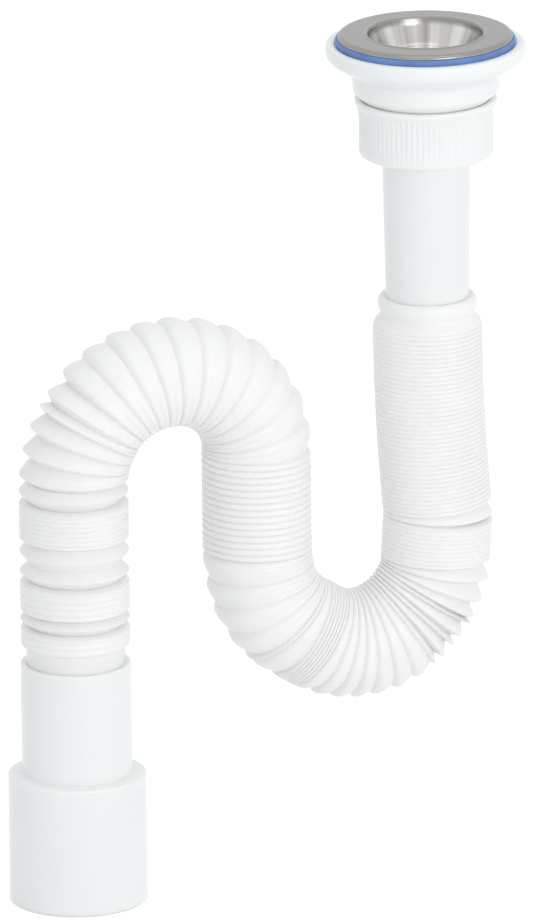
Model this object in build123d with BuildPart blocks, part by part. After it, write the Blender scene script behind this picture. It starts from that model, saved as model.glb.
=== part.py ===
from build123d import *
import os
from math import degrees, pi

# A flexible waste trap for a sink: strainer cup, flanged outlet, union, connecting tube, bellows hose bent into the
# S of a water trap, and a stepped outlet sleeve. Millimetres, +Z up, origin on the outlet's axis at the sink seat.

# Clearances
slip = 0.3                    # between pieces that move on each other
close_fit = 0.1               # between pieces that are pushed together

# Strainer cup, pressed from sheet
sheet = 0.8
cup_rim_radius = 31.6
cup_rim_rise = 1.6            # crown of the rim over the sink seat
cup_mouth_radius = 20.6
cup_floor_radius = 15.8
cup_depth = 9.6               # from the sink seat to the floor's upper face
cup_corner = 2.5
drain_hole_radius = 2.6
drain_hole_circle = 10.6
drain_hole_count = 8

# Strainer screw and its nut
screw_radius = 3.0
screw_head_radius = 5.2
screw_head_height = 2.6
screw_slot = 1.2
nut_across_flats = 10.0
nut_height = 5.0
nut_room = 1.0                # between the nut and the mouth of its pocket

# Seat gasket
gasket_thickness = 2.5
gasket_radius = 32.4

# Outlet body
lip_width = 3.4
lip_drop = 1.2                # top of the lip under the sink seat
flange_height = 6.4
flange_round = 2.4
neck_radius = 26.4
neck_top = 12.8               # depth of the neck's upper end under the sink seat
neck_length = 6.1
shoulder_height = 2.6
thread_radius = 21.3          # over the crests of the thread
thread_depth = 1.6
thread_length = 13.1
tail_wall = 2.4
neck_wall = 2.6
hub_radius = 8.2
hub_height = 12.0
hub_gap = 1.0                 # between the cup's floor and the hub
rib_width = 2.4

# Union
seal_thickness = 3.0
nut_top_gap = 0.7             # between the neck's shoulder and the nut
nut_lip_height = 2.8
nut_lip_radius = 25.8
nut_radius = 24.2
nut_rib_count = 76
nut_rib_depth = 0.5
nut_rib_length = 13.4
nut_floor = 3.6
nut_round = 4.6
collar_height = 2.5

# Connecting tube
tube_radius = 16.0
tube_draft = 0.9              # loss of radius down to the hose
tube_wall = 1.6
tube_length = 77.0            # from the collar's top to the lower end

# Bellows hose
bore_room = 1.0               # between the tube's lower end and the hose's bore
fold_height = 3.8             # from the bore to the ridges
hose_wall = 0.8
tip_share = 0.6               # where along its pitch a fold has its tip
loft_turn = 45                # largest turn, in degrees, of the walls made in one go
hose_top = 96.2               # depth of the bead's top under the sink seat
bead_wall = 2.9               # over the tube
bead_height = 6.0
bead_neck_wall = 1.8
bead_neck_height = 1.2
hose_shoulder = 3.7
closed_groove = 1.0           # groove of a closed fold
open_groove = 3.3             # of an open fold on a straight stretch
saw_groove = 4.4              # of an open fold with a sharp tip, outside a bend
half_groove = 2.0             # of a half open fold, outside a bend
scallop_groove = 1.7          # of a fold pulled nearly flat, outside a bend
cuff_wall = 1.8
cuff_show = 7.0               # plain cuff between the last fold and the sleeve
cuff_depth = 20.0             # cuff inside the sleeve

# Outlet sleeve
sleeve_radius = 20.0
sleeve_length = 41.0
sleeve_wall = 1.8
spigot_radius = 25.0
spigot_length = 48.1
spigot_wall = 2.0
sleeve_step = 0.8

# The hose's folds, in order from the tube to the sleeve: how many, their pitch on side A, their pitch on side B and
# their groove. Side A is outside the lower bend and inside the upper bend, and the hose turns by the difference of the
# two pitches.
right_leg = [
    (32, 1.62, 1.71, closed_groove),
    (9, 1.60, 1.65, closed_groove),
    (1, 7.75, 1.83, saw_groove),
    (10, 1.60, 1.60, closed_groove),
]
lower_bend = [
    (2, 9.08, 1.10, saw_groove),
    (1, 6.28, 1.28, saw_groove),
    (1, 1.59, 1.59, closed_groove),
    (1, 7.45, 1.35, saw_groove),
    (1, 3.23, 1.33, half_groove),
    (1, 6.46, 1.41, saw_groove),
    (1, 3.62, 1.37, half_groove),
    (3, 8.62, 1.51, scallop_groove),
    (4, 7.49, 1.29, scallop_groove),
    (6, 1.27, 1.27, closed_groove),
    (1, 11.14, 1.57, scallop_groove),
    (1, 1.36, 1.36, closed_groove),
    (2, 11.76, 2.09, scallop_groove),
    (1, 10.06, 4.39, scallop_groove),
    (1, 10.84, 5.62, scallop_groove),
]
middle_leg = [
    (15, 2.45, 2.45, closed_groove),
]
upper_bend = [
    (4, 2.55, 12.47, scallop_groove),
    (3, 3.01, 12.06, scallop_groove),
    (4, 3.14, 10.70, scallop_groove),
    (1, 2.94, 10.01, saw_groove),
    (1, 2.87, 4.45, half_groove),
    (3, 2.73, 9.30, saw_groove),
]
left_leg = [
    (1, 7.51, 7.51, open_groove),
    (8, 1.77, 1.77, closed_groove),
    (1, 9.04, 9.04, open_groove),
    (1, 6.08, 6.08, open_groove),
    (5, 2.40, 2.40, closed_groove),
    (1, 5.37, 5.37, open_groove),
    (3, 2.43, 2.43, closed_groove),
]

# Levels, as depths under the sink seat, and the radii that follow from a fit
gasket_bore_radius = cup_mouth_radius + 2 * sheet
flange_radius = gasket_radius + slip + lip_width
throat_radius = neck_radius - neck_wall
neck_bottom = neck_top + neck_length
thread_top = neck_bottom + shoulder_height
tail_end = thread_top + thread_length
tail_radius = thread_radius - thread_depth
tail_bore_radius = tail_radius - tail_wall
hub_top = cup_depth + sheet + hub_gap
hub_bottom = hub_top + hub_height
nut_pocket = nut_height + nut_room
collar_top = tail_end + seal_thickness + slip
collar_bottom = collar_top + collar_height
nut_top = thread_top + nut_top_gap
nut_bottom = collar_bottom + nut_floor
nut_bore_radius = thread_radius + slip
collar_radius = nut_bore_radius - slip
tube_end = collar_top + tube_length
tube_end_radius = tube_radius - tube_draft
tube_fit = tube_end_radius + close_fit
bore_radius = tube_end_radius + bore_room
ridge_radius = bore_radius + fold_height
bead_radius = tube_fit + bead_wall
bead_neck_radius = tube_fit + bead_neck_wall
cuff_radius = sleeve_radius - sleeve_wall - slip
cuff_bore_radius = cuff_radius - cuff_wall
folds_top = hose_top + bead_height + bead_neck_height + hose_shoulder


def turn_of(folds):
    """Turn of a run of folds, in radians."""
    return sum(count * (pitch_a - pitch_b) for count, pitch_a, pitch_b, groove in folds) / (2 * ridge_radius)


def bent(bend, turn):
    """A bend with the pitch of its turning folds set right on side A, so that the whole bend has its turn."""
    turning = sum(count for count, pitch_a, pitch_b, groove in bend if pitch_a != pitch_b)
    change = 2 * ridge_radius * (turn - turn_of(bend)) / turning
    return [
        (count, pitch_a + change if pitch_a != pitch_b else pitch_a, pitch_b, groove)
        for count, pitch_a, pitch_b, groove in bend
    ]


def hose_path(folds, start):
    """Walk down the hose fold by fold: (plane at the fold's start, plane at its tip, fold) for each, and the end."""
    here = start
    steps = []
    for count, pitch_a, pitch_b, groove in folds:
        length = (pitch_a + pitch_b) / 2
        turn = degrees((pitch_a - pitch_b) / (2 * ridge_radius))
        for _ in range(count):
            tip = here.offset(tip_share * length).rotated((0, tip_share * turn, 0))
            steps.append((here, tip, (pitch_a, pitch_b, groove)))
            here = tip.offset((1 - tip_share) * length).rotated((0, (1 - tip_share) * turn, 0))
    return steps, here


def is_closed(groove):
    return groove == closed_groove


def grooves(fold):
    """Groove depth on side A and on side B of one fold."""
    pitch_a, pitch_b, groove = fold
    if pitch_a > pitch_b:
        return groove, closed_groove
    if pitch_b > pitch_a:
        return closed_groove, groove
    return groove, groove


def outer_rings(steps, end):
    """Rings of the folds' outside: (plane, reach on side A, reach on side B)."""
    rings = []
    last = (closed_groove, closed_groove)
    for here, tip, fold in steps:
        now = grooves(fold)
        rings.append((here, ridge_radius - max(last[0], now[0]), ridge_radius - max(last[1], now[1])))
        rings.append((tip, ridge_radius, ridge_radius))
        last = now
    rings.append((end, ridge_radius - last[0], ridge_radius - last[1]))
    return rings


def inner_rings(steps, end):
    """Rings of the bore: it follows the open folds, and runs straight past closed ones, which nest into one wall."""
    rings = []
    was_closed = False
    for here, tip, fold in steps:
        pitch_a, pitch_b, groove = fold
        closed = is_closed(groove)
        if not (closed and was_closed) or pitch_a != pitch_b:
            rings.append((here, bore_radius, bore_radius))
        if not closed:
            reach_a = ridge_radius - hose_wall if grooves(fold)[0] == groove else bore_radius
            reach_b = ridge_radius - hose_wall if grooves(fold)[1] == groove else bore_radius
            rings.append((tip, reach_a, reach_b))
        was_closed = closed
    rings.append((end, cuff_bore_radius, cuff_bore_radius))
    return rings


def loft_runs(rings):
    """Split a row of rings where the hose has turned far enough; each run starts with the ring that ended the last."""
    runs = [[rings[0]]]
    for ring in rings[1:]:
        runs[-1].append(ring)
        if runs[-1][0][0].z_dir.get_angle(ring[0].z_dir) > loft_turn:
            runs.append([ring])
    return runs


# Strainer cup: a rolled rim, a tapering wall and a perforated floor, all of one sheet
with BuildPart() as strainer_cup:
    with BuildSketch(Plane.XZ) as cup_section:
        with BuildLine():
            Polyline(
                (0, -cup_depth),
                (cup_floor_radius, -cup_depth),
                (cup_mouth_radius, cup_rim_rise - 2 * sheet),
                (cup_mouth_radius + sheet, cup_rim_rise),
                (cup_rim_radius - 2 * sheet, cup_rim_rise),
                (cup_rim_radius, cup_rim_rise - sheet),
                (cup_rim_radius, 0),
                (cup_rim_radius - sheet, 0),
                (cup_rim_radius - 2 * sheet, cup_rim_rise - sheet),
                (cup_mouth_radius + 2 * sheet, cup_rim_rise - sheet),
                (cup_mouth_radius + sheet, cup_rim_rise - 2.5 * sheet),
                (cup_floor_radius + sheet / 2, -cup_depth - sheet),
                (0, -cup_depth - sheet),
                close=True,
            )
        make_face()
        fillet(cup_section.vertices().sort_by_distance((cup_floor_radius, -cup_depth))[0], cup_corner)
    revolve(axis=Axis.Z)
    with Locations((0, 0, -cup_depth)):
        Hole(screw_radius + slip)
        with PolarLocations(drain_hole_circle, drain_hole_count):
            Hole(drain_hole_radius)
strainer_cup.part.label = "strainer_cup"

# Strainer screw: slotted head on the cup's floor, shank down into the nut in the hub
with BuildPart() as cup_screw:
    with BuildSketch(Plane.XY.offset(-cup_depth)):
        Circle(screw_head_radius)
    extrude(amount=screw_head_height)
    fillet(cup_screw.edges().group_by(Axis.Z)[-1], screw_head_height / 3)
    with BuildSketch(Plane.XY.offset(-cup_depth)):
        Circle(screw_radius)
    extrude(amount=-(hub_bottom - cup_depth))
    with BuildSketch(Plane.XY.offset(screw_head_height - cup_depth)):
        Rectangle(2 * screw_head_radius, screw_slot)
    extrude(amount=-screw_head_height / 2, mode=Mode.SUBTRACT)
cup_screw.part.label = "cup_screw"

# Seat gasket: a flat soft ring in the dish of the flange
with BuildPart() as seat_gasket:
    with BuildSketch(Plane.XY.offset(-gasket_thickness)):
        Circle(gasket_radius)
        Circle(gasket_bore_radius + slip, mode=Mode.SUBTRACT)
    extrude(amount=gasket_thickness)
    fillet(seat_gasket.edges().group_by(Axis.Z)[-1].sort_by(SortBy.RADIUS)[-1], gasket_thickness / 5)
seat_gasket.part.label = "seat_gasket"

# Outlet body: dished flange, neck, shoulder and threaded tail, with a hub for the screw on cross ribs
with BuildPart() as outlet_body:
    with BuildSketch(Plane.XZ) as body_section:
        with BuildLine():
            Polyline(
                (flange_radius - lip_width, -lip_drop),
                (flange_radius, -lip_drop),
                (flange_radius, -flange_height),
                (neck_radius, -neck_top),
                (neck_radius, -neck_bottom),
                (tail_radius, -thread_top),
                (tail_radius, -tail_end),
                (tail_bore_radius, -tail_end),
                (tail_bore_radius, -neck_bottom),
                (throat_radius, -neck_top),
                (throat_radius, -gasket_thickness),
                (flange_radius - lip_width, -gasket_thickness),
                close=True,
            )
        make_face()
        fillet(body_section.vertices().sort_by_distance((flange_radius, -flange_height))[0], flange_round)
        fillet(body_section.vertices().sort_by_distance((neck_radius, -neck_top))[0], flange_round / 2)
        fillet(body_section.vertices().sort_by_distance((flange_radius, -lip_drop))[0], lip_width / 3)
    revolve(axis=Axis.Z)
    with BuildSketch(Plane.XY.offset(-hub_bottom)):
        Circle(hub_radius)
    extrude(amount=hub_height)
    with BuildSketch(Plane.XY.offset(-hub_bottom)):
        Rectangle(2 * tail_bore_radius + tail_wall, rib_width)
        Rectangle(rib_width, 2 * tail_bore_radius + tail_wall)
    extrude(amount=hub_bottom - neck_bottom)
    with BuildSketch(Plane.XY.offset(-hub_bottom)):
        RegularPolygon(nut_across_flats / 2 + close_fit, 6, major_radius=False)
    extrude(amount=nut_pocket, mode=Mode.SUBTRACT)
    with Locations((0, 0, -hub_top)):
        Hole(screw_radius + slip)
outlet_body.part.label = "outlet_body"

# Insert nut: a hexagon nut in the hub's pocket
with BuildPart() as insert_nut:
    with BuildSketch(Plane.XY.offset(nut_pocket - nut_height - hub_bottom)):
        RegularPolygon(nut_across_flats / 2, 6, major_radius=False)
        Circle(screw_radius + close_fit, mode=Mode.SUBTRACT)
    extrude(amount=nut_height)
insert_nut.part.label = "insert_nut"

# Cone seal: between the end of the thread and the tube's collar
with BuildPart() as cone_seal:
    with BuildSketch(Plane.XZ):
        with BuildLine():
            Polyline(
                (tube_radius + slip, -tail_end - seal_thickness),
                (collar_radius - slip, -tail_end - seal_thickness),
                (collar_radius - slip, -tail_end),
                (tail_bore_radius, -tail_end),
                (tube_radius + slip, -tail_end - seal_thickness / 3),
                close=True,
            )
        make_face()
    revolve(axis=Axis.Z)
cone_seal.part.label = "cone_seal"

# Union nut: a lip, a ribbed skirt, and a floor that rounds in under the collar
with BuildPart() as union_nut:
    skirt_top = nut_top + nut_lip_height
    skirt_bottom = skirt_top + nut_rib_length
    with BuildSketch(Plane.XZ) as nut_section:
        with BuildLine():
            Polyline(
                (nut_bore_radius, -collar_bottom),
                (nut_bore_radius, -nut_top - nut_lip_height / 2),
                (nut_bore_radius + nut_lip_height / 2, -nut_top),
                (nut_lip_radius, -nut_top),
                (nut_lip_radius, -skirt_top),
                (nut_radius - nut_rib_depth, -skirt_top),
                (nut_radius - nut_rib_depth, -skirt_bottom),
                (nut_radius, -skirt_bottom),
                (nut_radius, -nut_bottom),
                (tube_radius + slip, -nut_bottom),
                (tube_radius + slip, -collar_bottom),
                close=True,
            )
        make_face()
        fillet(nut_section.vertices().sort_by_distance((nut_radius, -nut_bottom))[0], nut_round)
        fillet(nut_section.vertices().sort_by_distance((nut_lip_radius, -nut_top))[0], nut_lip_height / 4)
    revolve(axis=Axis.Z)
    rib_pitch = 2 * pi * nut_radius / nut_rib_count
    rib_root = nut_radius - 2 * nut_rib_depth
    with BuildSketch(Plane.XY.offset(-skirt_bottom)):
        with PolarLocations((nut_radius + rib_root) / 2, nut_rib_count):
            Rectangle(nut_radius - rib_root, rib_pitch / 2)
    extrude(amount=nut_rib_length)
union_nut.part.label = "union_nut"

# Connecting tube: a collar in the union, and a smooth tube with a little draft down into the hose
with BuildPart() as connecting_tube:
    with BuildSketch(Plane.XZ):
        with BuildLine():
            Polyline(
                (tube_radius - tube_wall, -collar_top),
                (collar_radius, -collar_top),
                (collar_radius, -collar_bottom),
                (tube_radius, -collar_bottom),
                (tube_end_radius, -hose_top),
                (tube_end_radius, -tube_end),
                (tube_end_radius - tube_wall, -tube_end),
                close=True,
            )
        make_face()
    revolve(axis=Axis.Z)
connecting_tube.part.label = "connecting_tube"

# Bellows hose: rings joined by straight walls, outside and inside, along the path that the folds make
lower_turn = pi - turn_of(right_leg)
hose_folds = right_leg + bent(lower_bend, lower_turn) + middle_leg + bent(upper_bend, -pi) + left_leg
start_plane = Plane(origin=(0, 0, -folds_top), x_dir=(1, 0, 0), z_dir=(0, 0, -1))
fold_steps, fold_end = hose_path(hose_folds, start_plane)
hose_outside = [
    (start_plane.offset(hose_top - folds_top), bead_neck_radius, bead_neck_radius),
    (start_plane.offset(hose_top - folds_top + bead_height / 3), bead_radius, bead_radius),
    (start_plane.offset(hose_top - folds_top + 2 * bead_height / 3), bead_radius, bead_radius),
    (start_plane.offset(hose_top - folds_top + bead_height), bead_neck_radius, bead_neck_radius),
    (start_plane.offset(-hose_shoulder), bead_neck_radius, bead_neck_radius),
]
hose_outside += outer_rings(fold_steps, fold_end)
hose_outside += [
    (fold_end.offset(hose_wall), cuff_radius, cuff_radius),
    (fold_end.offset(cuff_show + cuff_depth), cuff_radius, cuff_radius),
]
hose_inside = [
    (start_plane.offset(hose_top - folds_top - hose_wall), tube_fit, tube_fit),
    (start_plane.offset(-hose_wall), tube_fit, tube_fit),
]
hose_inside += inner_rings(fold_steps, fold_end)
hose_inside += [
    (fold_end.offset(cuff_show + cuff_depth + hose_wall), cuff_bore_radius, cuff_bore_radius),
]
with BuildPart() as hose:
    for rings, mode in ((hose_outside, Mode.ADD), (hose_inside, Mode.SUBTRACT)):
        for run in loft_runs(rings):
            for plane, reach_a, reach_b in run:
                with BuildSketch(plane):
                    with Locations(((reach_a - reach_b) / 2, 0)):
                        Circle((reach_a + reach_b) / 2)
            loft(ruled=True, mode=mode, clean=False)
hose.part.label = "hose"

# Outlet sleeve: a narrow part over the hose's cuff, a step, and a wide part for the drain
sleeve_top = fold_end.offset(cuff_show)
with BuildPart() as outlet_spigot:
    narrow_end = sleeve_length
    wide_end = sleeve_length + spigot_length
    with BuildSketch(Plane(sleeve_top.origin, x_dir=(1, 0, 0), z_dir=(0, -1, 0))):
        with BuildLine():
            Polyline(
                (sleeve_radius - sleeve_wall, 0),
                (sleeve_radius, 0),
                (sleeve_radius, -narrow_end),
                (spigot_radius, -narrow_end - sleeve_step),
                (spigot_radius, -wide_end),
                (spigot_radius - spigot_wall, -wide_end),
                (spigot_radius - spigot_wall, -narrow_end - sleeve_step - spigot_wall),
                (sleeve_radius - sleeve_wall, -narrow_end - sleeve_step),
                close=True,
            )
        make_face()
    revolve(axis=Axis(sleeve_top.origin, sleeve_top.z_dir))
outlet_spigot.part.label = "outlet_spigot"

os.makedirs("parts", exist_ok=True)
for piece in (
    strainer_cup,
    cup_screw,
    seat_gasket,
    outlet_body,
    insert_nut,
    cone_seal,
    union_nut,
    connecting_tube,
    hose,
    outlet_spigot,
):
    export_step(piece.part, f"parts/{piece.part.label}.step")
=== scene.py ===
import bpy
import bmesh
from math import cos, pi, radians, sin
from mathutils import Matrix, Vector


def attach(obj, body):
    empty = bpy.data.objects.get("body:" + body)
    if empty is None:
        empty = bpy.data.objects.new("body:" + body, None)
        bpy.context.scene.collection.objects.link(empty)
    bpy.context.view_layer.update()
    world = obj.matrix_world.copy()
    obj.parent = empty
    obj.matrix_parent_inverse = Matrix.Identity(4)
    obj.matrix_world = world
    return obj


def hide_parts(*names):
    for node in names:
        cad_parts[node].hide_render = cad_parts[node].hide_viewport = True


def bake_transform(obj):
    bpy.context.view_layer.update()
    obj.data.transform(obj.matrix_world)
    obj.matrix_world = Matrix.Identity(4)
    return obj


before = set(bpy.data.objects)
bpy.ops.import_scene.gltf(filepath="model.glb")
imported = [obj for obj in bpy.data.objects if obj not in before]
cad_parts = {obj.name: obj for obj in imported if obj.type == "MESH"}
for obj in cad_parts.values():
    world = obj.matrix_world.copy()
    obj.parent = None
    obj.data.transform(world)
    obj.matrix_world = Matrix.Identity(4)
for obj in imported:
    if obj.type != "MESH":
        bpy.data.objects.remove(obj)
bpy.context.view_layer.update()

# Sizes of the part are in millimetres and heights are z, unless a comment says otherwise.
MM = 0.001
AROUND = 84                    # corners of a ring of the hose
LATHE_AROUND = 160             # corners of a turned piece
HOLE_AROUND = 40               # corners of a drilled hole
# Edges that turn by more degrees than these stay crisp
CRISP = 35
CUP_CRISP = 50
HOSE_CRISP = 60
# A corner's rounding takes up no more than this share of the edges beside it
ROUNDING_SHARE = 0.49


# Meshes

def smooth(mesh, crisp):
    """Shade a mesh smooth, apart from its crisp edges."""
    for polygon in mesh.polygons:
        polygon.use_smooth = True
    mesh.set_sharp_from_angle(angle=radians(crisp))


def mesh_object(name, points, faces, crisp=CRISP):
    """A new smooth object from points in millimetres; edges sharper than the angle stay crisp."""
    mesh = bpy.data.meshes.new(name)
    mesh.from_pydata([Vector(p) * MM for p in points], [], faces)
    work = bmesh.new()
    work.from_mesh(mesh)
    bmesh.ops.recalc_face_normals(work, faces=work.faces)
    work.to_mesh(mesh)
    work.free()
    smooth(mesh, crisp)
    thing = bpy.data.objects.new(name, mesh)
    bpy.context.scene.collection.objects.link(thing)
    return thing


def ring_skin(rings):
    """Points and faces of a closed skin through rings of equal count, the last one joined to the first."""
    count = len(rings[0])
    points = [point for corners in rings for point in corners]
    faces = []
    for i in range(len(rings)):
        here = i * count
        there = (i + 1) % len(rings) * count
        for k in range(count):
            n = (k + 1) % count
            faces.append((here + k, here + n, there + n, there + k))
    return points, faces


def rounded(corners, steps=5):
    """Section points from corners (radius, height, rounding): a rounded corner becomes a short curve."""
    section = []
    for i, (r, z, rounding) in enumerate(corners):
        corner = Vector((r, z))
        if not rounding:
            section.append(corner)
            continue
        before = Vector(corners[i - 1][:2]) - corner
        after = Vector(corners[(i + 1) % len(corners)][:2]) - corner
        first = corner + before.normalized() * min(rounding, ROUNDING_SHARE * before.length)
        last = corner + after.normalized() * min(rounding, ROUNDING_SHARE * after.length)
        for k in range(steps + 1):
            t = k / steps
            section.append(first * (1 - t) ** 2 + corner * 2 * t * (1 - t) + last * t ** 2)
    return section


def circle(radius, z, x):
    """Corners of a level circle about an upright axis at x."""
    angles = [2 * pi * k / LATHE_AROUND for k in range(LATHE_AROUND)]
    return [(x + radius * cos(a), radius * sin(a), z) for a in angles]


def turned(name, corners, x=0.0, crisp=CRISP):
    """A piece turned about an upright axis at x, from the corners of its section."""
    rings = [circle(radius, z, x) for radius, z in rounded(corners)]
    return mesh_object(name, *ring_skin(rings), crisp)


def joined(name, *things):
    """Several new objects as one."""
    for other in bpy.context.selected_objects:
        other.select_set(False)
    for thing in things:
        thing.select_set(True)
    bpy.context.view_layer.objects.active = things[0]
    bpy.ops.object.join()
    things[0].name = name
    return things[0]


def block(name, low, high):
    """A plain box between two corners."""
    points = [(x, y, z) for x in (low[0], high[0]) for y in (low[1], high[1]) for z in (low[2], high[2])]
    faces = [(0, 1, 3, 2), (4, 6, 7, 5), (0, 4, 5, 1), (2, 3, 7, 6), (0, 2, 6, 4), (1, 5, 7, 3)]
    return mesh_object(name, points, faces)


def drilled(thing, x, y, radius, low, high):
    """Cut an upright hole."""
    bpy.ops.mesh.primitive_cylinder_add(
        vertices=HOLE_AROUND,
        radius=radius * MM,
        depth=(high - low) * MM,
        location=(x * MM, y * MM, (low + high) / 2 * MM),
    )
    cutter = bpy.context.active_object
    cut = thing.modifiers.new("hole", "BOOLEAN")
    cut.object = cutter
    cut.operation = "DIFFERENCE"
    bpy.context.view_layer.objects.active = thing
    bpy.ops.object.modifier_apply(modifier="hole")
    bpy.data.objects.remove(cutter)


# The hose: the same folds as the part, with rounded tops and narrow grooves. Each row is a count, the pitch
# on side A, the pitch on side B and the kind of fold. Side A is outside the lower bend and inside the upper.
RIDGE = 19.9                   # radius over the folds
BORE = 15.5                    # radius inside them
FOLDS_TOP = 107.1              # depth of the first fold's start
MIDDLE_STOP = 0.6              # share of a fold's length and turn that comes before its middle stop
RIGHT_LEG = [
    (32, 1.62, 1.71, "closed"),
    (9, 1.60, 1.65, "closed"),
    (1, 7.75, 1.83, "saw"),
    (10, 1.60, 1.60, "closed"),
]
LOWER_BEND = [
    (2, 9.08, 1.10, "saw"),
    (1, 6.28, 1.28, "saw"),
    (1, 1.59, 1.59, "closed"),
    (1, 7.45, 1.35, "saw"),
    (1, 3.23, 1.33, "half"),
    (1, 6.46, 1.41, "saw"),
    (1, 3.62, 1.37, "half"),
    (3, 8.62, 1.51, "scallop"),
    (4, 7.49, 1.29, "scallop"),
    (6, 1.27, 1.27, "tight"),
    (1, 11.14, 1.57, "scallop"),
    (1, 1.36, 1.36, "tight"),
    (2, 11.76, 2.09, "scallop"),
    (1, 10.06, 4.39, "scallop"),
    (1, 10.84, 5.62, "scallop"),
]
MIDDLE_LEG = [
    (15, 2.45, 2.45, "tight"),
]
UPPER_BEND = [
    (4, 2.55, 12.47, "scallop"),
    (3, 3.01, 12.06, "scallop"),
    (4, 3.14, 10.70, "scallop"),
    (1, 2.94, 10.01, "saw"),
    (1, 2.87, 4.45, "half"),
    (3, 2.73, 9.30, "saw"),
]
LEFT_LEG = [
    (1, 7.51, 7.51, "open"),
    (8, 1.77, 1.77, "closed"),
    (1, 9.04, 9.04, "open"),
    (1, 6.08, 6.08, "open"),
    (5, 2.40, 2.40, "closed"),
    (1, 5.37, 5.37, "open"),
    (3, 2.43, 2.43, "closed"),
]
# Kind of fold: groove depth, where its tip is, and how round its two flanks are (1 is straight)
DEPTH, TIP, RISE, FALL = range(4)
KINDS = {
    "closed": (0.5, 0.5, 2.0, 2.0),
    "tight": (0.95, 0.5, 3.0, 3.0),
    "open": (3.6, 0.5, 1.05, 1.05),
    "saw": (4.0, 0.72, 1.1, 1.05),
    "half": (2.0, 0.65, 1.2, 1.1),
    "scallop": (2.0, 0.70, 1.8, 2.4),
}
# Rings of a fold, from -1 at its start over 0 at its tip towards 1 at its end
WIDE_FOLD = 3.0                # a fold of this pitch or more has the wide steps
NARROW_STEPS = (-1, -0.8, -0.5, 0, 0.5, 0.8)
WIDE_STEPS = (
    -1, -0.94, -0.84, -0.72, -0.6, -0.48, -0.36, -0.24, -0.12, 0, 0.14, 0.3, 0.46, 0.62, 0.8, 0.93
)
# The small folds on the narrow side of a turning fold: pitch, groove depth and how round their flanks are
SMALL_PITCH = 1.3
SMALL_GROOVE = 0.9
SMALL_FLANK = 2.5


def turn_of(folds):
    """Turn of a row of folds, in radians."""
    return sum(count * (a - b) for count, a, b, kind in folds) / (2 * RIDGE)


def bent(bend, turn):
    """A bend with its turning folds' pitch set right on side A, so that the whole bend has its turn."""
    turning = sum(count for count, a, b, kind in bend if a != b)
    change = 2 * RIDGE * (turn - turn_of(bend)) / turning
    return [(count, a + change if a != b else a, b, kind) for count, a, b, kind in bend]


def walk(folds, place):
    """Start, middle stop and end of each fold, with its row; a place is x, z and heading, 0 being down."""
    steps = []
    for count, a, b, kind in folds:
        for _ in range(count):
            stops = [place]
            for share in (MIDDLE_STOP, 1 - MIDDLE_STOP):
                x, z, heading = stops[-1]
                length = share * (a + b) / 2
                turn = share * (a - b) / (2 * RIDGE)
                stops.append((x + length * sin(heading), z - length * cos(heading), heading - turn))
            steps.append((stops, (a, b, kind)))
            place = stops[2]
    return steps, place


def kinds_of(fold):
    """Kind of a fold on side A and on side B: the narrow side of a turning fold is closed."""
    a, b, kind = fold
    if a > b:
        return kind, "closed"
    if b > a:
        return "closed", kind
    return kind, kind


def reach(kind, step, first, last):
    """Reach of a fold's outside from its middle line, with the groove depths at its two ends."""
    if step <= 0:
        return RIDGE - first * (-step) ** KINDS[kind][RISE]
    return RIDGE - last * step ** KINDS[kind][FALL]


def ring(place, reach_a, reach_b):
    """Corners of a ring across the hose, from its reach on side A and on side B."""
    x, z, heading = place
    middle = (reach_a - reach_b) / 2
    radius = (reach_a + reach_b) / 2
    points = []
    for k in range(AROUND):
        angle = 2 * pi * k / AROUND
        out = middle + radius * cos(angle)
        points.append((x + out * cos(heading), radius * sin(angle), z + out * sin(heading)))
    return points


def even_ring(place, radius):
    """A ring with the same reach on both sides."""
    return ring(place, radius, radius)


def between(stops, t):
    """Place at t along a fold, between its start, middle stop and end."""
    near, far, share = (stops[0], stops[1], t / MIDDLE_STOP)
    if t > MIDDLE_STOP:
        near, far, share = (stops[1], stops[2], (t - MIDDLE_STOP) / (1 - MIDDLE_STOP))
    return tuple(p + (q - p) * share for p, q in zip(near, far))


def pleat(pitch, t):
    """Groove of the small folds that a wide fold has on its narrow side, at t along it."""
    count = max(1, round(pitch / SMALL_PITCH))
    return SMALL_GROOVE * abs(2 * (t * count % 1) - 1) ** SMALL_FLANK


def fold_rings(steps):
    """Rings over the outside of a row of folds."""
    rings = []
    for i, (stops, fold) in enumerate(steps):
        sides = kinds_of(fold)
        before = kinds_of(steps[max(i - 1, 0)][1])
        after = kinds_of(steps[min(i + 1, len(steps) - 1)][1])
        tip = KINDS[sides[0] if fold[0] >= fold[1] else sides[1]][TIP]
        for step in NARROW_STEPS if max(fold[:2]) < WIDE_FOLD else WIDE_STEPS:
            t = tip * (1 + step) if step <= 0 else tip + (1 - tip) * step
            reaches = []
            for side in (0, 1):
                if fold[side] < fold[1 - side]:
                    reaches.append(RIDGE - pleat(fold[side], t))
                    continue
                own = KINDS[sides[side]][DEPTH]
                first = max(own, KINDS[before[side]][DEPTH])
                last = max(own, KINDS[after[side]][DEPTH])
                reaches.append(reach(sides[side], step, first, last))
            rings.append(ring(between(stops, t), *reaches))
    return rings


def bore_rings(steps):
    """Rings of the bore, from the last fold of a row back to its first."""
    return [even_ring(stops[0], BORE) for stops, fold in reversed(steps)]


trap_folds = RIGHT_LEG + bent(LOWER_BEND, pi - turn_of(RIGHT_LEG)) + MIDDLE_LEG + bent(UPPER_BEND, -pi)
trap_steps, leg_top = walk(trap_folds, (0.0, -FOLDS_TOP, 0.0))
leg_steps, leg_end = walk(LEFT_LEG, leg_top)
END_X, FOLDS_END, END_HEADING = leg_end

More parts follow.
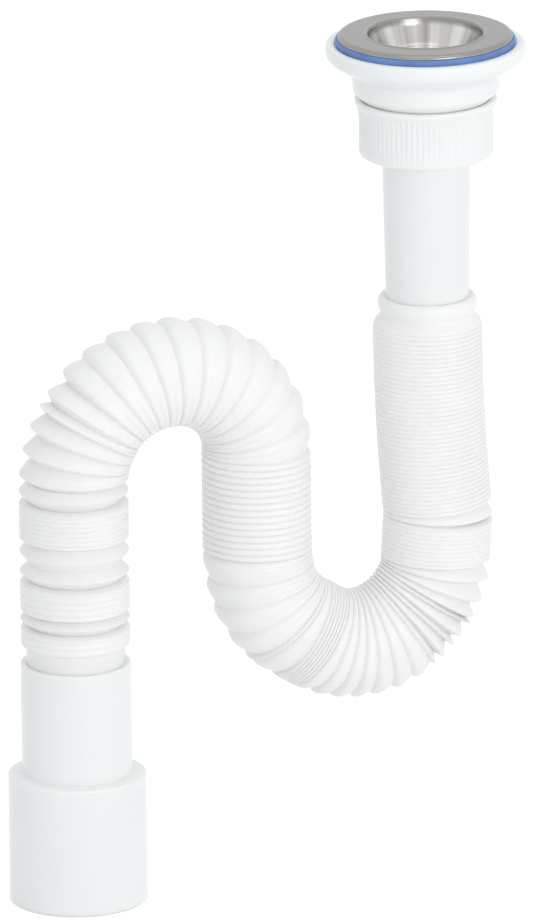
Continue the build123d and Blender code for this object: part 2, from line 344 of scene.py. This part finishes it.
# Bead and shoulder at the tube, as radius and depth, and the bore's upper end inside them
TUBE_END_RADIUS = 15.1
BEAD = [
    (TUBE_END_RADIUS, 96.7), (16.3, 96.25), (17.2, 96.6), (17.9, 97.7), (18.1, 99.0),
    (17.95, 100.3), (17.5, 101.4), (17.05, 102.2), (17.0, 103.0), (17.3, 103.6),
    (18.2, 104.7), (19.1, 105.7), (19.5, 106.4), (19.6, 106.8),
]
MOUTH_RADIUS = 15.2
MOUTH_DEPTH = 106.3
bead_rings = [even_ring((0.0, -depth, 0.0), radius) for radius, depth in BEAD]
mouth = even_ring((0.0, -MOUTH_DEPTH, 0.0), MOUTH_RADIUS)
seam = even_ring(leg_top, RIDGE - KINDS["saw"][DEPTH])
seam_bore = even_ring(leg_top, BORE)
bend_rings = bead_rings + fold_rings(trap_steps) + [seam, seam_bore] + bore_rings(trap_steps) + [mouth]
hose_trap = mesh_object("hose_bends", *ring_skin(bend_rings), HOSE_CRISP)

# Left leg and the cuff that goes into the sleeve, as radius and distance below the folds
CUFF_RADIUS = 17.9
CUFF_LENGTH = 27.0
CUFF = [
    (19.0, 0.0), (18.3, 0.3), (CUFF_RADIUS, 0.9),
    (CUFF_RADIUS, CUFF_LENGTH - 0.4), (CUFF_RADIUS - 0.3, CUFF_LENGTH), (BORE, CUFF_LENGTH),
]
cuff_rings = [even_ring((END_X, FOLDS_END - down, END_HEADING), radius) for radius, down in CUFF]
leg_rings = fold_rings(leg_steps)
leg_rings[0] = seam
hose_leg = mesh_object("hose_leg", *ring_skin(leg_rings + cuff_rings + bore_rings(leg_steps)), HOSE_CRISP)

# Turned pieces, as corners of radius, height and rounding. These sizes are shared by two of them.
SCREW_HOLE = 3.3               # radius of the screw's way through the cup and the hub
DISH_FLOOR = -2.5              # under the gasket
TAIL_RADIUS = 19.7             # at the root of the thread
NUT_FLOOR = -40.4              # under the tube's collar

# Strainer cup and its drain holes
CUP_FLOOR = -9.6
CUP_UNDERSIDE = -10.4
RIM_RADIUS = 31.6
DRAIN_HOLES = 8
DRAIN_CIRCLE = 10.6
DRAIN_RADIUS = 2.6
DRAIN_CUT = (-13, -7)          # foot and top of the cutter
OFF_EDGE = 0.017               # share of a step by which the holes miss the cup's edges, for a clean cut
cup = turned("strainer_cup_bright", [
    (SCREW_HOLE, CUP_FLOOR, 0),
    (14.7, CUP_FLOOR, 0.7),
    (15.3, -8.1, 0.6),
    (17.2, -7.3, 1.8),
    (20.3, -0.9, 0.8),
    (20.8, 1.5, 0.6),
    (21.5, 1.9, 0.5),
    (22.5, 1.5, 0.4),
    (30.2, 1.6, 1.0),
    (RIM_RADIUS, 0.9, 0.8),
    (RIM_RADIUS, 0.0, 0.2),
    (30.8, 0.0, 0.2),
    (29.6, 0.8, 1.0),
    (22.2, 0.8, 1.0),
    (21.2, -0.8, 1.0),
    (18.1, -8.2, 1.8),
    (16.0, -9.0, 0.6),
    (15.3, CUP_UNDERSIDE, 0.7),
    (SCREW_HOLE, CUP_UNDERSIDE, 0),
], crisp=CUP_CRISP)
for k in range(DRAIN_HOLES):
    a = 2 * pi * (k + OFF_EDGE) / DRAIN_HOLES
    drilled(cup, DRAIN_CIRCLE * cos(a), DRAIN_CIRCLE * sin(a), DRAIN_RADIUS, *DRAIN_CUT)

# Seat gasket
GASKET_RADIUS = 32.4
GASKET_BORE = 22.5
gasket = turned("seat_gasket_blue", [
    (GASKET_BORE, 0.0, 0.3),
    (GASKET_RADIUS, 0.0, 0.7),
    (GASKET_RADIUS, DISH_FLOOR, 0.3),
    (GASKET_BORE, DISH_FLOOR, 0.3),
])

# Outlet body: the shell with its dished flange, and the screw's hub on four ribs
FLANGE_RADIUS = 36.1
FLANGE_TOP = -1.9
DISH_RADIUS = 32.7
DISH_BORE = 23.8
NECK_RADIUS = 26.4
TAIL_BORE = 17.3
TAIL_FOOT = -34.6
HUB_RADIUS = 8.2
HUB_TOP = -11.4
HUB_FOOT = -23.4
NUT_POCKET = 6.0               # radius of the pocket for the insert nut
POCKET_TOP = -17.4
RIB_TOP = -18.9
RIB_REACH = (8.0, 18.0)        # from inside the hub's wall into the tail's wall
RIB_HALF = 1.2                 # half of a rib's thickness
body_shell = turned("outlet_shell", [
    (DISH_RADIUS, -2.3, 0.3),
    (33.1, FLANGE_TOP, 0.5),
    (FLANGE_RADIUS, FLANGE_TOP, 1.4),
    (FLANGE_RADIUS, -7.0, 2.6),
    (NECK_RADIUS, -13.0, 1.2),
    (NECK_RADIUS, -19.2, 0.7),
    (TAIL_RADIUS, -25.9, 0.6),
    (TAIL_RADIUS, TAIL_FOOT, 0.4),
    (TAIL_BORE, TAIL_FOOT, 0.4),
    (TAIL_BORE, -18.9, 1.0),
    (DISH_BORE, -12.8, 1.0),
    (DISH_BORE, DISH_FLOOR, 0.4),
    (DISH_RADIUS, DISH_FLOOR, 0.4),
])
hub = turned("hub", [
    (SCREW_HOLE, HUB_TOP, 0.2),
    (HUB_RADIUS, HUB_TOP, 0.6),
    (HUB_RADIUS, HUB_FOOT, 0.3),
    (NUT_POCKET, HUB_FOOT, 0.2),
    (NUT_POCKET, POCKET_TOP, 0),
    (SCREW_HOLE, POCKET_TOP, 0),
])
hub_ribs = []
for side in (1, -1):
    near, far = sorted(side * r for r in RIB_REACH)
    hub_ribs.append(block("rib", (near, -RIB_HALF, HUB_FOOT), (far, RIB_HALF, RIB_TOP)))
    hub_ribs.append(block("rib", (-RIB_HALF, near, HUB_FOOT), (RIB_HALF, far, RIB_TOP)))
outlet = joined("outlet_white", body_shell, hub, *hub_ribs)

# The thread of the outlet's tail: one ridge wound round it
THREAD_PITCH = 2.309
THREAD_TURNS = 3.4
THREAD_TOP = -25.6
THREAD_FOOT = 19.5             # radius of the ridge's foot, a little inside the tail
THREAD_HEIGHT = 1.3
FOOT_HALF = 0.9                # half of the ridge's width at its foot
CREST_HALF = 0.35              # and at its crest
RUN_OUT = 30                   # steps in which the ridge rises at its start and dies away at its end
thread_steps = THREAD_TURNS * LATHE_AROUND
thread_rings = []
for k in range(int(thread_steps)):
    a = 2 * pi * k / LATHE_AROUND
    z = THREAD_TOP - THREAD_PITCH * k / LATHE_AROUND
    crest = TAIL_RADIUS + THREAD_HEIGHT * min(1, k / RUN_OUT, (thread_steps - k) / RUN_OUT)
    upper = [(THREAD_FOOT, FOOT_HALF), (crest, CREST_HALF)]
    lower = [(crest, -CREST_HALF), (THREAD_FOOT, -FOOT_HALF)]
    thread_rings.append([(r * cos(a), r * sin(a), z + rise) for r, rise in upper + lower])
thread_points = [point for section in thread_rings for point in section]
thread_faces = [(0, 1, 2, 3), tuple(len(thread_points) - 1 - i for i in range(4))]
for i in range(len(thread_rings) - 1):
    for k in range(4):
        n = (k + 1) % 4
        thread_faces.append((4 * i + k, 4 * i + n, 4 * i + 4 + n, 4 * i + 4 + k))
thread = mesh_object("outlet_thread", thread_points, thread_faces)

# Union nut: the lip runs down into the ribs, and the floor rounds in under the collar
NUT_TOP = -22.2
NUT_FOOT = -44.0
NUT_RADIUS = 24.2
NUT_BORE = 21.6
NUT_MOUTH = 23.7               # radius at the top of the funnel
NUT_HOLE = 16.3                # radius of the tube's way through the floor
NUT_RIBS = 76
RIB_CUTS = (0, 0, 0.14, 0.28, 0.28, 0.14)      # depths across one rib and the groove after it
NUT_AROUND = NUT_RIBS * len(RIB_CUTS)
RIBS_INSIDE = 23.6             # ribs are cut on what is wider than this, between these two heights
RIBS_TOP = -25.0
RIBS_FOOT = -41.4


def nut_ring(radius, z):
    """Corners of a level ring of the nut, with the grooves where it is ribbed."""
    ribbed = radius > RIBS_INSIDE and RIBS_FOOT < z < RIBS_TOP
    points = []
    for k in range(NUT_AROUND):
        a = 2 * pi * k / NUT_AROUND
        r = radius - RIB_CUTS[k % len(RIB_CUTS)] if ribbed else radius
        points.append((r * cos(a), r * sin(a), z))
    return points


nut_section = rounded([
    (NUT_BORE, NUT_FLOOR, 0.4),
    (NUT_BORE, -24.3, 0.4),
    (NUT_MOUTH, NUT_TOP, 0.2),
    (25.8, NUT_TOP, 0.7),
    (25.6, -24.0, 0.4),
    (25.1, -24.8, 0),
    (24.9, -25.4, 0),
    (24.4, -27.6, 0),
    (NUT_RADIUS, -30.0, 0),
    (NUT_RADIUS, -39.4, 0),
    (NUT_RADIUS, NUT_FOOT, 4.4),
    (NUT_HOLE, NUT_FOOT, 0.3),
    (NUT_HOLE, NUT_FLOOR, 0.3),
])
nut = mesh_object("union_nut_white", *ring_skin([nut_ring(radius, z) for radius, z in nut_section]))

# Connecting tube with its collar
COLLAR_RADIUS = 21.3
COLLAR_TOP = -37.9
TUBE_FOOT = -114.9
tube = turned("connecting_tube_white", [
    (14.4, COLLAR_TOP, 0.2),
    (COLLAR_RADIUS, COLLAR_TOP, 0.4),
    (COLLAR_RADIUS, NUT_FLOOR, 0.4),
    (16.0, NUT_FLOOR, 0.3),
    (TUBE_END_RADIUS, -96.2, 0),
    (TUBE_END_RADIUS, TUBE_FOOT, 0.3),
    (13.5, TUBE_FOOT, 0.3),
])

# Outlet sleeve: its two widths are those of 40 mm and 50 mm pipes
CUFF_SHOWN = 7.0               # length of the cuff above the sleeve
NARROW_RADIUS = 20.0
WIDE_RADIUS = 25.0
WIDE_BORE = 23.0
SLEEVE_TOP = FOLDS_END - CUFF_SHOWN
SLEEVE_STEP = SLEEVE_TOP - 41.0
SLEEVE_FOOT = SLEEVE_TOP - 89.1
spigot = turned("outlet_spigot_white", [
    (CUFF_RADIUS, SLEEVE_TOP, 0.1),
    (NARROW_RADIUS, SLEEVE_TOP, 0.6),
    (NARROW_RADIUS, SLEEVE_STEP, 0.3),
    (WIDE_RADIUS, SLEEVE_STEP - 0.8, 0.7),
    (WIDE_RADIUS, SLEEVE_FOOT, 0.6),
    (WIDE_BORE, SLEEVE_FOOT, 0.5),
    (WIDE_BORE, SLEEVE_STEP - 2.8, 1.0),
    (18.2, SLEEVE_STEP - 0.8, 0.6),
], END_X)


# Materials

def new_material(name):
    """A new material, its nodes and links, and its main shader."""
    material = bpy.data.materials.new(name)
    material.use_nodes = True
    nodes = material.node_tree.nodes
    return material, nodes, material.node_tree.links, nodes["Principled BSDF"]


def cloudy(nodes, links, scale, low, high, vector=None, detail=3.0, spread=0.2):
    """A colour ramp over noise, from one colour to another."""
    noise = nodes.new("ShaderNodeTexNoise")
    noise.inputs["Scale"].default_value = scale
    noise.inputs["Detail"].default_value = detail
    if vector is None:
        place = nodes.new("ShaderNodeTexCoord")
        vector = place.outputs["Object"]
    links.new(vector, noise.inputs["Vector"])
    ramp = nodes.new("ShaderNodeValToRGB")
    ramp.color_ramp.elements[0].position = 0.5 - spread
    ramp.color_ramp.elements[0].color = (*low, 1)
    ramp.color_ramp.elements[1].position = 0.5 + spread
    ramp.color_ramp.elements[1].color = (*high, 1)
    links.new(noise.outputs["Fac"], ramp.inputs["Fac"])
    return ramp


def fine_bump(nodes, links, shader, scale, distance):
    """A fine uneven skin; the distance is in metres."""
    place = nodes.new("ShaderNodeTexCoord")
    noise = nodes.new("ShaderNodeTexNoise")
    noise.inputs["Scale"].default_value = scale
    links.new(place.outputs["Object"], noise.inputs["Vector"])
    bump = nodes.new("ShaderNodeBump")
    bump.inputs["Strength"].default_value = 0.3
    bump.inputs["Distance"].default_value = distance
    links.new(noise.outputs["Fac"], bump.inputs["Height"])
    links.new(bump.outputs["Normal"], shader.inputs["Normal"])


def plastic(name, low, high, roughness, scatter, depth):
    """White moulded plastic: faint cloudiness, a fine skin and a little light let through to the depth."""
    material, nodes, links, shader = new_material(name)
    ramp = cloudy(nodes, links, 45, low, high)
    links.new(ramp.outputs["Color"], shader.inputs["Base Color"])
    shader.inputs["Roughness"].default_value = roughness
    shader.inputs["IOR"].default_value = 1.5
    shader.inputs["Subsurface Weight"].default_value = scatter
    shader.inputs["Subsurface Radius"].default_value = (1.0, 1.0, 1.0)
    shader.inputs["Subsurface Scale"].default_value = depth
    fine_bump(nodes, links, shader, scale=900, distance=0.00004)
    return material


def rubber(name, low, high):
    """Matt soft rubber."""
    material, nodes, links, shader = new_material(name)
    ramp = cloudy(nodes, links, 120, low, high)
    links.new(ramp.outputs["Color"], shader.inputs["Base Color"])
    shader.inputs["Roughness"].default_value = 0.55
    fine_bump(nodes, links, shader, scale=700, distance=0.00005)
    return material


def round_axis(nodes, links):
    """Direction from the upright axis: it is the same all the way down, so noise on it makes streaks."""
    place = nodes.new("ShaderNodeTexCoord")
    flat = nodes.new("ShaderNodeVectorMath")
    flat.operation = "MULTIPLY"
    flat.inputs[1].default_value = (1, 1, 0)
    links.new(place.outputs["Object"], flat.inputs[0])
    unit = nodes.new("ShaderNodeVectorMath")
    unit.operation = "NORMALIZE"
    links.new(flat.outputs["Vector"], unit.inputs[0])
    return unit.outputs["Vector"]


def metal(nodes, links, shader, colour, roughness):
    """Make a shader metal of a colour, with a fine grain."""
    links.new(colour, shader.inputs["Base Color"])
    shader.inputs["Metallic"].default_value = 1.0
    shader.inputs["Roughness"].default_value = roughness
    fine_bump(nodes, links, shader, scale=2500, distance=0.00003)


def turned_metal(name, low, high, roughness):
    """Plain metal with soft streaks down it."""
    material, nodes, links, shader = new_material(name)
    ramp = cloudy(nodes, links, 4, low, high, round_axis(nodes, links))
    metal(nodes, links, shader, ramp.outputs["Color"], roughness)
    return material


# Heights between which the cup's bowl, painted bright with streaks of painted highlight, turns into its
# plain grey rim
BOWL_TOP = -1.2
RIM_FOOT = 0.8


def pressed_steel(name, rim, bowl_low, bowl_highlight, roughness):
    """Satin steel: an even grey rim of its own colour, and a bowl painted bright, with streaks of painted
    highlight and reflection down its wall.
    """
    material, nodes, links, shader = new_material(name)
    grain = cloudy(nodes, links, 1500, rim, tuple(1.1 * c for c in rim))
    streaks = round_axis(nodes, links)
    # painted highlights: the bowl's bright streaks stand for reflections of the lamps in the steel
    wall = cloudy(nodes, links, 2.6, bowl_low, bowl_highlight, streaks, detail=6.0, spread=0.14)
    place = nodes.new("ShaderNodeTexCoord")
    split = nodes.new("ShaderNodeSeparateXYZ")
    links.new(place.outputs["Object"], split.inputs["Vector"])
    level = nodes.new("ShaderNodeMapRange")
    level.inputs["From Min"].default_value = BOWL_TOP * MM
    level.inputs["From Max"].default_value = RIM_FOOT * MM
    links.new(split.outputs["Z"], level.inputs["Value"])
    # the bowl below the rim takes the painted highlights, the rim keeps its plain grey
    mix = nodes.new("ShaderNodeMixRGB")
    links.new(level.outputs["Result"], mix.inputs["Fac"])
    links.new(wall.outputs["Color"], mix.inputs["Color1"])
    links.new(grain.outputs["Color"], mix.inputs["Color2"])
    metal(nodes, links, shader, mix.outputs["Color"], roughness)
    return material


white = plastic("white plastic", (0.89, 0.91, 0.905), (0.91, 0.925, 0.92), 0.32, 0.3, 0.003)
bellows = plastic("white bellows", (0.905, 0.905, 0.895), (0.925, 0.925, 0.915), 0.42, 0.1, 0.002)
blue = rubber("blue rubber", (0.11, 0.21, 0.48), (0.15, 0.27, 0.57))
grey = rubber("grey rubber", (0.16, 0.16, 0.165), (0.2, 0.2, 0.205))
# the last two colours paint streaked highlights on the bowl, and on the screw in it; the rim's grey is the
# steel's own
steel = pressed_steel("satin steel", (0.30, 0.295, 0.29), (0.31, 0.30, 0.29), (0.72, 0.71, 0.69), 0.27)
brass = turned_metal("plain brass", (0.60, 0.44, 0.17), (0.68, 0.50, 0.21), 0.3)


# Bodies

def dress(thing, material, body=None, node=None):
    """Give a piece its finish, hide the node that it replaces, and attach it to its body."""
    thing.data.materials.clear()
    thing.data.materials.append(material)
    if node:
        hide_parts(node)
    if body:
        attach(thing, body)


dress(cup, steel, "sink_outlet", "strainer_cup")
dress(gasket, blue, "sink_outlet", "seat_gasket")
dress(outlet, white, "sink_outlet", "outlet_body")
dress(thread, white, "sink_outlet")
dress(nut, white, "nut", "union_nut")
dress(tube, white, "trap", "connecting_tube")
dress(hose_trap, bellows, "trap", "hose")
dress(hose_leg, bellows, None, "hose")
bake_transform(hose_leg)
dress(spigot, white, "outlet_end", "outlet_spigot")
for node, material, slot in (
    ("cup_screw", steel, "steel"),
    ("insert_nut", brass, "brass"),
    ("cone_seal", grey, "grey_rubber"),
):
    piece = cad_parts[node]
    smooth(piece.data, CRISP)
    dress(piece, material)


# Floor, light and camera

def seen_directly(nodes, links):
    """1 for what the camera sees, also in a mirror or through glass, and 0 for light on the object."""
    path = nodes.new("ShaderNodeLightPath")
    first = nodes.new("ShaderNodeMath")
    first.operation = "MAXIMUM"
    links.new(path.outputs["Is Camera Ray"], first.inputs[0])
    links.new(path.outputs["Is Glossy Ray"], first.inputs[1])
    both = nodes.new("ShaderNodeMath")
    both.operation = "MAXIMUM"
    links.new(first.outputs["Value"], both.inputs[0])
    links.new(path.outputs["Is Transmission Ray"], both.inputs[1])
    return both.outputs["Value"]


def pale(name, colour, lift):
    """A pale floor that keeps shadows; the lift makes its lit part white where it is seen."""
    material, nodes, links, shader = new_material(name)
    ramp = cloudy(nodes, links, 3, colour, tuple(min(1, c * 1.01) for c in colour))
    links.new(ramp.outputs["Color"], shader.inputs["Base Color"])
    shader.inputs["Roughness"].default_value = 0.9
    shader.inputs["Specular IOR Level"].default_value = 0.0
    shader.inputs["Emission Color"].default_value = (1, 1, 1, 1)
    amount = nodes.new("ShaderNodeMath")
    amount.operation = "MULTIPLY"
    amount.inputs[1].default_value = lift
    links.new(seen_directly(nodes, links), amount.inputs[0])
    links.new(amount.outputs["Value"], shader.inputs["Emission Strength"])
    return material


FLOOR_SIZE = 40                # metres
FLOOR_GAP = 0.3                # under the sleeve
bpy.ops.mesh.primitive_plane_add(size=FLOOR_SIZE, location=(0, 0, (SLEEVE_FOOT - FLOOR_GAP) * MM))
floor = bpy.context.active_object
floor.name = "floor"
floor.data.materials.append(pale("pale floor", (0.9, 0.9, 0.9), 0.4))


def area(name, place, aim, size, power, colour):
    """A round lamp; its place and size are in metres and its power in watts."""
    light = bpy.data.lights.new(name, "AREA")
    light.shape = "DISK"
    light.size = size
    light.energy = power
    light.color = colour
    lamp = bpy.data.objects.new(name, light)
    lamp.location = place
    lamp.rotation_euler = (Vector(aim) - Vector(place)).to_track_quat("-Z", "Y").to_euler()
    bpy.context.scene.collection.objects.link(lamp)


MIDDLE = Vector((-60.94, 0.0, -153.62)) * MM
area("key", (0.4, -2.1, 0.25), MIDDLE, 1.2, 10.5, (1.0, 0.995, 0.985))
area("top", (0.2, -0.1, 1.9), MIDDLE, 1.6, 3.4, (1.0, 1.0, 1.0))

# The world: a pale sky lights the object, and plain white is seen behind it
world = bpy.data.worlds.new("studio")
bpy.context.scene.world = world
world.use_nodes = True
nodes = world.node_tree.nodes
links = world.node_tree.links
sky = nodes["Background"]
sky.inputs["Color"].default_value = (0.97, 0.985, 1.0, 1)
sky.inputs["Strength"].default_value = 0.8
shown = nodes.new("ShaderNodeBackground")
shown.inputs["Color"].default_value = (1, 1, 1, 1)
shown.inputs["Strength"].default_value = 1.0
mix = nodes.new("ShaderNodeMixShader")
links.new(seen_directly(nodes, links), mix.inputs["Fac"])
links.new(sky.outputs["Background"], mix.inputs[1])
links.new(shown.outputs["Background"], mix.inputs[2])
links.new(mix.outputs["Shader"], nodes["World Output"].inputs["Surface"])

# The camera: far off with a long lens, at the angles of the photograph
AZIMUTH = radians(-16.893)
ELEVATION = radians(16.8)
ROLL = radians(-0.597)
DISTANCE = 8.0                 # metres
PIXELS_PER_M = 2770
PHOTO_HEIGHT = 923             # pixels
SENSOR_HEIGHT = 36
back = Vector((sin(AZIMUTH) * cos(ELEVATION), -cos(AZIMUTH) * cos(ELEVATION), sin(ELEVATION)))
right = Vector((cos(AZIMUTH), sin(AZIMUTH), 0))
up = back.cross(right)
rolled_right = right * cos(ROLL) + up * sin(ROLL)
rolled_up = up * cos(ROLL) - right * sin(ROLL)
rotation = Matrix((rolled_right, rolled_up, back)).transposed().to_4x4()
camera_data = bpy.data.cameras.new("camera")
camera_data.sensor_fit = "VERTICAL"
camera_data.sensor_height = SENSOR_HEIGHT
camera_data.lens = SENSOR_HEIGHT * PIXELS_PER_M * DISTANCE / PHOTO_HEIGHT
camera = bpy.data.objects.new("camera", camera_data)
camera.matrix_world = Matrix.Translation(MIDDLE + back * DISTANCE) @ rotation
bpy.context.scene.collection.objects.link(camera)
bpy.context.scene.camera = camera
bpy.context.scene.view_settings.view_transform = "Standard"
